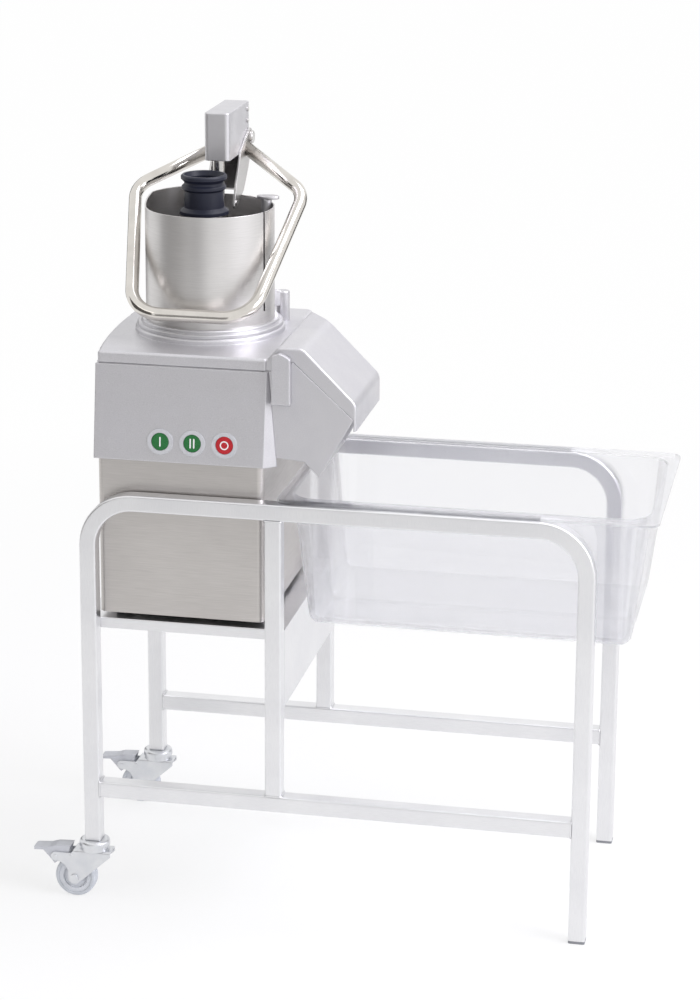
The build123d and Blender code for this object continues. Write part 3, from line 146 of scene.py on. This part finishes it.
# cast aluminium: a dull sparkle from blasting pits, drawn a little coarser than the real 0.5 mm, and
# slow clouds in the tone
def blastedCasting(name, look):
    material, tree = startMaterial(name)
    pits = noiseMm(tree, (look["pitMm"],) * 3, 2.0, 0.6)
    cloud = noiseMm(tree, (look["cloudMm"],) * 3, 3.0)
    tone = driftingTone(tree, cloud, look)
    speck = addNode(tree, "MixRGB", {"Fac": spread(tree, pits, 0, look["speckDepth"]),
                                     "Color1": tone, "Color2": linear(look["speck"])})
    bump = addNode(tree, "Bump", {"Height": pits, "Strength": look["bump"], "Distance": reliefOf["pit"],
                                  "Normal": softEdge(tree, look["edgeMm"])})
    shader = addNode(tree, "BsdfPrincipled", {
        "Base Color": speck.outputs[0], "Metallic": look["metallic"],
        "Roughness": spread(tree, cloud, *look["roughness"]), "Normal": bump.outputs[0]})
    addNode(tree, "OutputMaterial", {"Surface": shader.outputs[0]})
    return material


# polished stainless: a mirror with a slight haze of wiping marks
def polishedStainless(name, look):
    material, tree = startMaterial(name)
    haze = noiseMm(tree, (look["hazeMm"],) * 3, 3.0)
    wipe = noiseMm(tree, look["wipeMm"], 2.0)
    tone = driftingTone(tree, haze, look)
    bump = addNode(tree, "Bump", {"Height": wipe, "Strength": look["bump"], "Distance": reliefOf["wipe"],
                                  "Normal": softEdge(tree, look["edgeMm"])})
    shader = addNode(tree, "BsdfPrincipled", {
        "Base Color": tone, "Metallic": 1.0,
        "Roughness": spread(tree, haze, *look["roughness"]), "Normal": bump.outputs[0]})
    addNode(tree, "OutputMaterial", {"Surface": shader.outputs[0]})
    return material


# moulded plastic or rubber: fine spark-eroded grain, tone barely varies
def mouldedPlastic(name, look):
    material, tree = startMaterial(name)
    grain = noiseMm(tree, (look["grainMm"],) * 3, 2.0)
    cloud = noiseMm(tree, (look["cloudMm"],) * 3, 2.0)
    tone = driftingTone(tree, cloud, look)
    bump = addNode(tree, "Bump", {"Height": grain, "Strength": look["bump"], "Distance": reliefOf["grain"],
                                  "Normal": softEdge(tree, look["edgeMm"])})
    shader = addNode(tree, "BsdfPrincipled", {
        "Base Color": tone, "IOR": look["ior"],
        "Roughness": spread(tree, grain, *look["roughness"]), "Normal": bump.outputs[0]})
    addNode(tree, "OutputMaterial", {"Surface": shader.outputs[0]})
    return material


# clear polycarbonate, injection moulded: glossy, edges a little milky, faint flow waves. Part of it
# lets light straight through, so that thick edges stay pale, and its shadow is as pale as the real one
def clearPolycarbonate(name, look):
    material, tree = startMaterial(name)
    flow = noiseMm(tree, look["flowMm"], 2.0)
    milk = noiseMm(tree, (look["milkMm"],) * 3, 3.0)
    tone = driftingTone(tree, milk, look)
    bump = addNode(tree, "Bump", {"Height": flow, "Strength": look["bump"], "Distance": reliefOf["flow"]})
    shader = addNode(tree, "BsdfPrincipled", {
        "Base Color": tone, "IOR": look["ior"], "Transmission Weight": 1.0,
        "Roughness": spread(tree, milk, *look["roughness"]), "Normal": bump.outputs[0]})
    passing = addNode(tree, "BsdfTransparent", {"Color": linear(look["passing"])})
    shadowRay = addNode(tree, "LightPath").outputs["Is Shadow Ray"]
    share = addNode(tree, "Math", {0: shadowRay, 1: look["clearShare"]}, operation="MAXIMUM")
    veil = addNode(tree, "MixShader", {0: share.outputs[0], 1: shader.outputs[0], 2: passing.outputs[0]})
    addNode(tree, "OutputMaterial", {"Surface": veil.outputs[0]})
    return material


standTube = brushedStainless("satin stainless tube", {
    "colour": "#f0f0f1", "shade": "#e9e9eb", "lines": "#d6d6d9", "scratchMm": (0.9, 0.9, 14), "cloudMm": 90,
    "lineDepth": 0.3, "bump": 0.12, "roughness": (0.30, 0.42), "edgeMm": 1.0})
standRail = brushedStainless("satin stainless rail", {
    "colour": "#f0f0f1", "shade": "#e9e9eb", "lines": "#d6d6d9", "scratchMm": (14, 0.9, 0.9), "cloudMm": 90,
    "lineDepth": 0.3, "bump": 0.12, "roughness": (0.30, 0.42), "edgeMm": 1.0})
housingSheet = brushedStainless("brushed stainless sheet", {
    "colour": "#cfcbc8", "shade": "#c8c4c1", "lines": "#a7a4a1", "scratchMm": (40, 40, 0.8), "cloudMm": 120,
    "lineDepth": 0.35, "bump": 0.12, "roughness": (0.28, 0.40), "edgeMm": 1.0})
hopperSheet = brushedStainless("brushed stainless hopper sheet", {
    "colour": "#dedcdb", "shade": "#d4d2d1", "lines": "#bbb9b7", "scratchMm": (30, 30, 0.8), "cloudMm": 80,
    "lineDepth": 0.35, "bump": 0.09, "roughness": (0.34, 0.42), "edgeMm": 0.8})
castBody = blastedCasting("blasted cast aluminium", {
    "colour": "#dbdadd", "shade": "#d3d2d6", "speck": "#b4b3b6", "pitMm": 1.2, "cloudMm": 60,
    "speckDepth": 0.4, "bump": 0.18, "metallic": 0.8, "roughness": (0.38, 0.48), "edgeMm": 2.0})
castHead = blastedCasting("satin cast aluminium", {
    "colour": "#dad9dc", "shade": "#cfced1", "speck": "#b2b1b4", "pitMm": 1.0, "cloudMm": 40,
    "speckDepth": 0.35, "bump": 0.12, "metallic": 0.85, "roughness": (0.34, 0.44), "edgeMm": 1.5})
handleTube = polishedStainless("polished stainless tube", {
    "colour": "#dedad4", "shade": "#d3cfc9", "hazeMm": 25, "wipeMm": (9, 9, 9), "bump": 0.03,
    "roughness": (0.10, 0.15), "edgeMm": 0.5})
turnedSteel = polishedStainless("turned stainless", {
    "colour": "#d2d0ce", "shade": "#c4c2c0", "hazeMm": 12, "wipeMm": (20, 20, 0.6), "bump": 0.03,
    "roughness": (0.16, 0.26), "edgeMm": 0.8})
zincPlate = blastedCasting("zinc plated steel", {
    "colour": "#e6e7e9", "shade": "#dcdee2", "speck": "#c4c6cb", "pitMm": 0.8, "cloudMm": 18,
    "speckDepth": 0.35, "bump": 0.1, "metallic": 0.9, "roughness": (0.28, 0.38), "edgeMm": 0.8})
tubePlastic = mouldedPlastic("blue-black polyamide", {
    "colour": "#1c1f30", "shade": "#181b2a", "grainMm": 0.9, "cloudMm": 30, "bump": 0.08, "ior": 1.42,
    "roughness": (0.36, 0.48), "edgeMm": 0.8})
casterRubber = mouldedPlastic("grey thermoplastic rubber", {
    "colour": "#d0d4da", "shade": "#c6cad0", "grainMm": 0.8, "cloudMm": 12, "bump": 0.12, "ior": 1.5,
    "roughness": (0.50, 0.62), "edgeMm": 1.0})
casterHubPlastic = mouldedPlastic("grey polypropylene", {
    "colour": "#dde0e5", "shade": "#d4d7dd", "grainMm": 0.8, "cloudMm": 10, "bump": 0.08, "ior": 1.49,
    "roughness": (0.36, 0.46), "edgeMm": 0.8})
pedalPlastic = mouldedPlastic("slate grey polyamide", {
    "colour": "#d0d2d8", "shade": "#c7c9cf", "grainMm": 1.4, "cloudMm": 20, "bump": 0.16, "ior": 1.5,
    "roughness": (0.34, 0.44), "edgeMm": 0.8})
capPlastic = mouldedPlastic("grey polyethylene", {
    "colour": "#8d8f94", "shade": "#84868b", "grainMm": 1.0, "cloudMm": 15, "bump": 0.1, "ior": 1.51,
    "roughness": (0.45, 0.55), "edgeMm": 0.8})
footRubber = mouldedPlastic("black rubber", {
    "colour": "#2a2a2c", "shade": "#232325", "grainMm": 0.9, "cloudMm": 12, "bump": 0.15, "ior": 1.52,
    "roughness": (0.6, 0.72), "edgeMm": 0.8})
greenCap = mouldedPlastic("green ABS", {
    "colour": "#23733a", "shade": "#1f6a34", "grainMm": 0.7, "cloudMm": 9, "bump": 0.05, "ior": 1.53,
    "roughness": (0.24, 0.34), "edgeMm": 0.6})
redCap = mouldedPlastic("red ABS", {
    "colour": "#bf1f2a", "shade": "#b21b26", "grainMm": 0.7, "cloudMm": 9, "bump": 0.05, "ior": 1.53,
    "roughness": (0.24, 0.34), "edgeMm": 0.6})
bezelPlastic = mouldedPlastic("pale grey ABS", {
    "colour": "#c9cacd", "shade": "#c1c2c6", "grainMm": 0.7, "cloudMm": 9, "bump": 0.05, "ior": 1.53,
    "roughness": (0.28, 0.38), "edgeMm": 0.6})
markPrint = mouldedPlastic("white pad-printed ink", {
    "colour": "#f4f4f4", "shade": "#eeeeee", "grainMm": 0.6, "cloudMm": 5, "bump": 0.04, "ior": 1.5,
    "roughness": (0.4, 0.5), "edgeMm": 0.2})
motorPaint = mouldedPlastic("grey machine enamel", {
    "colour": "#5b6168", "shade": "#51575e", "grainMm": 2.0, "cloudMm": 30, "bump": 0.2, "ior": 1.5,
    "roughness": (0.35, 0.5), "edgeMm": 1.5})
panClear = clearPolycarbonate("clear polycarbonate", {
    "colour": "#fefefe", "shade": "#fcfcfd", "flowMm": (160, 160, 90), "milkMm": 120, "bump": 0.08,
    "ior": 1.585, "roughness": (0.02, 0.04), "passing": "#f6f6f8", "clearShare": 0.45})
print("materials made")

dressing = [
    (standTube, ["front_hoop", "rear_hoop", "front_middle_post", "rear_middle_post", "drip_apron"]),
    (standRail, ["front_lower_rail", "rear_lower_rail", "shelf_tray"]),
    (capPlastic, ["foot_caps"]),
    (zincPlate, ["front_caster_stem", "front_caster_fork", "front_caster_axle", "rear_caster_stem",
                 "rear_caster_fork", "rear_caster_axle"]),
    (pedalPlastic, ["front_caster_pedal", "rear_caster_pedal"]),
    (casterRubber, ["front_caster_tyre", "rear_caster_tyre"]),
    (casterHubPlastic, ["front_caster_hub", "rear_caster_hub"]),
    (panClear, ["food_pan"]),
    (housingSheet, ["base_housing", "base_plate"]),
    (footRubber, ["machine_feet", "drive_belt", "lid_seal"]),
    (motorPaint, ["motor"]),
    (turnedSteel, ["motor_shaft", "motor_pulley", "drive_pulley", "drive_shaft", "shaft_bearings",
                   "hinge_pin", "pusher_shaft", "tube_collar", "pivot_bolt", "head_screws"]),
    (castBody, ["bowl_casting", "lid", "control_panel", "hinge_bracket", "lid_latch", "ejector_disc"]),
    (castHead, ["head_box", "guide_post", "guide_cap", "hopper_lug", "slicing_disc", "hopper_flange"]),
    (hopperSheet, ["hopper", "channel_arm", "disc_blades"]),
    (handleTube, ["handle"]),
    (tubePlastic, ["feed_tube", "pusher_plate"]),
    (greenCap, ["slow_button", "fast_button"]),
    (redCap, ["stop_button"]),
    (bezelPlastic, ["button_bezels"]),
]
for finish, names in dressing:
    for name in names:
        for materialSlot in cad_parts[name].material_slots:
            materialSlot.material = finish
print("CAD nodes dressed")


def addPiece(name, mesh, material, body, smooth=True):
    piece = bpy.data.objects.new(name, mesh)
    bpy.context.collection.objects.link(piece)
    mesh.materials.append(material)
    for face in mesh.polygons:
        face.use_smooth = smooth
    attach(piece, body)
    return piece


def finishMesh(name, work):
    mesh = bpy.data.meshes.new(name)
    bmesh.ops.recalc_face_normals(work, faces=work.faces)
    work.to_mesh(mesh)
    work.free()
    return mesh


def addRing(work, centre, side, other, radius, sides):
    turns = (2 * pi * k / sides for k in range(sides))
    return [work.verts.new(centre + radius * (side * cos(a) + other * sin(a))) for a in turns]


def bridgeRings(work, first, second):
    for k in range(len(first)):
        after = (k + 1) % len(first)
        work.faces.new((first[k], first[after], second[after], second[k]))


# a direction with more than this share of z counts as upright
uprightShare = 0.95


def beadMesh(name, path, radius, sides):
    # round bead along a closed path of points
    work = bmesh.new()
    rings = []
    for i, point in enumerate(path):
        along = (path[(i + 1) % len(path)] - path[i - 1]).normalized()
        side = along.orthogonal() if abs(along.z) > uprightShare else along.cross((0, 0, 1))
        side.normalize()
        rings.append(addRing(work, point, side, along.cross(side), radius, sides))
    for i in range(len(rings)):
        bridgeRings(work, rings[i], rings[(i + 1) % len(rings)])
    return finishMesh(name, work)


def joinMeshes(name, meshes):
    joined = bpy.data.meshes.new(name)
    work = bmesh.new()
    for mesh in meshes:
        work.from_mesh(mesh)
    work.to_mesh(joined)
    work.free()
    return joined


# weld beads where the rails and posts meet the hoops, in metres; ripple is the waviness of the bead
weldLook = {"bead": 0.0013, "sides": 6, "half": 0.0128, "corner": 0.003, "cornerSteps": 6, "step": 0.0016,
            "ripple": 0.00025, "rippleTurn": 2.4, "inset": 0.0004}


def squareBead(centre, normal, look):
    across = Vector((0, 1, 0)) if abs(normal.x) > 0.5 else Vector((1, 0, 0))
    upward = normal.cross(across)
    inner = look["half"] - look["corner"]
    points = []
    for corner in range(4):
        start = pi / 2 * corner
        sx = inner if cos(start + pi / 4) > 0 else -inner
        sy = inner if sin(start + pi / 4) > 0 else -inner
        for step in range(look["cornerSteps"] + 1):
            turn = start + pi / 2 * step / look["cornerSteps"]
            points.append(centre + across * (sx + look["corner"] * cos(turn))
                          + upward * (sy + look["corner"] * sin(turn)))
    fine = []
    for a, b in zip(points, points[1:] + points[:1]):
        pieces = max(1, round((b - a).length / look["step"]))
        fine += [a.lerp(b, k / pieces) for k in range(pieces)]
    waved = [p + normal * (look["ripple"] * sin(look["rippleTurn"] * i)) for i, p in enumerate(fine)]
    return beadMesh("bead", waved, look["bead"], look["sides"])


def beadsAtEnds(node, axis, look):
    # a bead around each end of a straight tube that runs along the axis
    low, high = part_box(node)
    middle, half = (low + high) / 2, (high - low) / 2
    reach = half.dot(axis) - look["inset"]
    return [squareBead(middle + axis * (reach * side), axis, look) for side in (-1, 1)]


beads = []
for side in ("front", "rear"):
    beads += beadsAtEnds(side + "_lower_rail", Vector((1, 0, 0)), weldLook)
    beads += beadsAtEnds(side + "_middle_post", Vector((0, 0, 1)), weldLook)
addPiece("weldBeads", joinMeshes("weldBeads", beads), standTube, "machine")

# the handle once more, bent in fine steps, because its polish shows every facet of the plain one.
# Runs are measured in the handle's own plane, which leans back by "lean", from its front tube
handleLook = {"runY": -0.120, "runZ": 0.9075, "lean": 0.70509, "halfRun": 0.090, "halfWidth": 0.131,
              "cornerRun": 0.238, "endRun": 0.3217, "frontBend": 0.052, "sideBend": 0.038, "tube": 0.010,
              "armHalf": 0.0223, "armShift": 0.005, "sides": 48, "bendSteps": 18}


def bentPath(corners, bends, steps):
    # straight runs whose corners are turned into arcs
    path = [corners[0]]
    for before, corner, after, bend in zip(corners, corners[1:], corners[2:], bends):
        back, ahead = (before - corner).normalized(), (after - corner).normalized()
        half = back.angle(ahead) / 2
        middle = corner + (back + ahead).normalized() * (bend / sin(half))
        arm = corner + back * (bend / tan(half)) - middle
        axis = arm.cross(corner + ahead * (bend / tan(half)) - middle)
        turns = ((pi - 2 * half) * k / steps for k in range(steps + 1))
        path += [middle + Matrix.Rotation(turn, 3, axis) @ arm for turn in turns]
    return path + [corners[-1]]


def handleMesh(look):
    low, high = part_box("hopper")
    middle = (low.x + high.x) / 2
    along = Vector((0, cos(look["lean"]), sin(look["lean"])))
    normal = Vector((0, -sin(look["lean"]), cos(look["lean"])))
    armPlanes = [middle + look["armShift"] + side * look["armHalf"] for side in (-1, 1)]

    def at(x, run):
        return Vector((x, look["runY"], look["runZ"])) + along * run

    wide, narrow = look["halfWidth"], look["halfRun"]
    corners = [at(armPlanes[0], look["endRun"]), at(middle - wide, look["cornerRun"]),
               at(middle - narrow, 0), at(middle + narrow, 0),
               at(middle + wide, look["cornerRun"]), at(armPlanes[1], look["endRun"])]
    bends = (look["sideBend"], look["frontBend"], look["frontBend"], look["sideBend"])
    path = bentPath(corners, bends, look["bendSteps"])
    last = len(path) - 1
    work = bmesh.new()
    rings = []
    for i, point in enumerate(path):
        run = (path[min(i + 1, last)] - path[max(i - 1, 0)]).normalized()
        ring = addRing(work, point, normal, normal.cross(run), look["tube"], look["sides"])
        if i in (0, last):
            # both ends are cut flush with the arm
            plane = armPlanes[0 if i == 0 else 1]
            for vertex in ring:
                vertex.co += run * ((plane - vertex.co.x) / run.x)
        rings.append(ring)
    for before, after in zip(rings, rings[1:]):
        bridgeRings(work, before, after)
    work.faces.new(reversed(rings[0]))
    work.faces.new(rings[-1])
    return finishMesh("handleTube", work)


fineHandle = addPiece("handleTube", handleMesh(handleLook), handleTube, "lever")
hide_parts("handle")
print("handle bent")

# printed marks on the buttons: one bar, two bars and a ring
markLook = {"faceAboveMiddle": 0.0036, "barWidth": 0.0021, "barHeight": 0.0146, "barGap": 0.0054,
            "barSteps": 8, "ringRadius": 0.0066, "ringWidth": 0.0018, "ringSteps": 32, "thick": 0.0003,
            "panelDepth": 0.012, "panelHeight": 0.143}
panelLean = atan2(markLook["panelDepth"], markLook["panelHeight"])
panelOut = Vector((0, -cos(panelLean), sin(panelLean)))
panelUp = Vector((0, sin(panelLean), cos(panelLean)))


def markMesh(name, outlines, face):
    # flat outlines in the panel's plane, given a little thickness
    work = bmesh.new()
    for outline in outlines:
        low = [work.verts.new(face + Vector((x, 0, 0)) + panelUp * y) for x, y in outline]
        high = [work.verts.new(v.co + panelOut * markLook["thick"]) for v in low]
        work.faces.new(high)
        bridgeRings(work, low, high)
    return finishMesh(name, work)


def barOutline(x):
    # upright bar with half-round ends
    half, top, steps = markLook["barWidth"] / 2, markLook["barHeight"] / 2, markLook["barSteps"]
    turns = (pi * k / steps for k in range(steps + 1))
    upper = [(x + half * cos(a), top - half + half * sin(a)) for a in turns]
    return upper + [(2 * x - px, -py) for px, py in upper]


def ringOutlines():
    outer, steps = markLook["ringRadius"], markLook["ringSteps"]
    inner = outer - markLook["ringWidth"]
    turns = [2 * pi * k / steps for k in range(steps + 1)]
    return [[(outer * cos(a), outer * sin(a)), (outer * cos(b), outer * sin(b)),
             (inner * cos(b), inner * sin(b)), (inner * cos(a), inner * sin(a))]
            for a, b in zip(turns, turns[1:])]


halfGap = markLook["barGap"] / 2
for node, body, outlines in (
        ("slow_button", "slow_cap", [barOutline(0)]),
        ("fast_button", "fast_cap", [barOutline(-halfGap), barOutline(halfGap)]),
        ("stop_button", "stop_cap", ringOutlines())):
    low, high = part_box(node)
    face = (low + high) / 2 + panelOut * markLook["faceAboveMiddle"]
    name = node + "_mark"
    addPiece(name, markMesh(name, outlines, face), markPrint, body, smooth=False)
print("beads and marks made")

# stage: a floor that pales into the backdrop, soft lamps, and cards that only the metal sees
stageLook = {"floor": "#f7f7f8", "floorHalf": 40, "floorDrop": 0.0005, "nearGlow": 0.72, "farGlow": 0.985,
             "nearReach": 0.9, "farReach": 2.6, "world": 0.62}
lampLook = {
    "keyLamp": {"place": (3.7, -1.2, 2.7), "target": (0, 0, 0.8), "size": (2.2, 2.2), "power": 120,
                "colour": "#f8f7ff"},
    "fillLamp": {"place": (-2.8, -3.0, 2.2), "target": (0, 0, 0.6), "size": (2.0, 2.4), "power": 14,
                 "colour": "#fffaf5"},
    "topLamp": {"place": (1.2, 0.5, 3.8), "target": (0, 0, 0.6), "size": (2.0, 2.0), "power": 50,
                "colour": "#f8f7ff"}}
cardLook = {
    "leftCard": {"place": (-2.9, -1.9, 1.1), "target": (0, 0, 1.0), "size": (3.4, 3.0), "tone": "#5a5857"},
    "backRightCard": {"place": (2.3, 2.8, 0.9), "target": (0, 0, 0.9), "size": (1.4, 2.6),
                      "tone": "#303032"},
    "backLeftCard": {"place": (-2.5, 2.8, 0.9), "target": (0, 0, 0.9), "size": (1.2, 2.6),
                     "tone": "#303032"},
    "frontCard": {"place": (-1.2, -5.3, 1.1), "target": (-1.0, 0, 1.0), "size": (2.4, 2.4),
                  "tone": "#a3a2a2"},
    "floorCard": {"place": (-1.1, -4.2, 0.01), "target": (-1.1, -4.2, 1.0), "size": (2.4, 2.5),
                  "tone": "#7c7b7b"}}


def flatSheet(name, halfX, halfY):
    mesh = bpy.data.meshes.new(name)
    corners = [(-halfX, -halfY, 0), (halfX, -halfY, 0), (halfX, halfY, 0), (-halfX, halfY, 0)]
    mesh.from_pydata(corners, [], [(0, 1, 2, 3)])
    sheet = bpy.data.objects.new(name, mesh)
    bpy.context.collection.objects.link(sheet)
    return sheet


def aim(item, look):
    item.location = look["place"]
    away = Vector(look["target"]) - Vector(look["place"])
    item.rotation_euler = away.to_track_quat("-Z", "Y").to_euler()


def glowNode(tree, colour):
    return addNode(tree, "Emission", {"Color": colour, "Strength": 1.0})


def seenNotLit(tree):
    # 1 for the rays that show a surface, also in metal or through the pan, 0 for those that light others
    path = addNode(tree, "LightPath")
    seen = addNode(tree, "Math", {0: path.outputs["Is Camera Ray"], 1: path.outputs["Is Glossy Ray"]},
                   operation="MAXIMUM")
    return addNode(tree, "Math", {0: seen.outputs[0], 1: path.outputs["Is Transmission Ray"]},
                   operation="MAXIMUM").outputs[0]


def stageFloor(look):
    floor = flatSheet("floor", look["floorHalf"], look["floorHalf"])
    floor.location.z = -look["floorDrop"]
    material, tree = startMaterial("pale floor")
    dull = addNode(tree, "BsdfDiffuse", {"Color": linear(look["floor"])})
    place = addNode(tree, "TexCoord")
    reach = addNode(tree, "VectorMath", {0: place.outputs["Object"]}, operation="LENGTH")
    paling = spread(tree, reach.outputs["Value"], look["nearGlow"], look["farGlow"], look["nearReach"],
                    look["farReach"])
    part = addNode(tree, "Math", {0: seenNotLit(tree), 1: paling}, operation="MULTIPLY")
    mixed = addNode(tree, "MixShader", {0: part.outputs[0], 1: dull.outputs[0],
                                        2: glowNode(tree, linear("#ffffff")).outputs[0]})
    addNode(tree, "OutputMaterial", {"Surface": mixed.outputs[0]})
    floor.data.materials.append(material)


def stageWorld(look):
    world = bpy.data.worlds.new("studio")
    bpy.context.scene.world = world
    world.use_nodes = True
    tree = world.node_tree
    tree.nodes.clear()
    strength = addNode(tree, "MapRange", {"Value": seenNotLit(tree), "To Min": look["world"],
                                          "To Max": 1.0})
    back = addNode(tree, "Background", {"Color": linear("#ffffff"), "Strength": strength.outputs["Result"]})
    addNode(tree, "OutputWorld", {"Surface": back.outputs[0]})


def softLamp(name, look):
    data = bpy.data.lights.new(name, "AREA")
    data.shape = "RECTANGLE"
    data.size, data.size_y = look["size"]
    data.energy = look["power"]
    data.color = linear(look["colour"])[:3]
    lamp = bpy.data.objects.new(name, data)
    aim(lamp, look)
    bpy.context.collection.objects.link(lamp)


def metalCard(name, look):
    card = flatSheet(name, look["size"][0] / 2, look["size"][1] / 2)
    aim(card, look)
    material, tree = startMaterial(name)
    addNode(tree, "OutputMaterial", {"Surface": glowNode(tree, linear(look["tone"])).outputs[0]})
    card.data.materials.append(material)
    card.visible_camera = card.visible_diffuse = card.visible_shadow = False
    card.visible_transmission = False


stageFloor(stageLook)
stageWorld(stageLook)
for name, look in lampLook.items():
    softLamp(name, look)
for name, look in cardLook.items():
    metalCard(name, look)
print("stage set")

bpy.context.scene.view_settings.view_transform = "Standard"
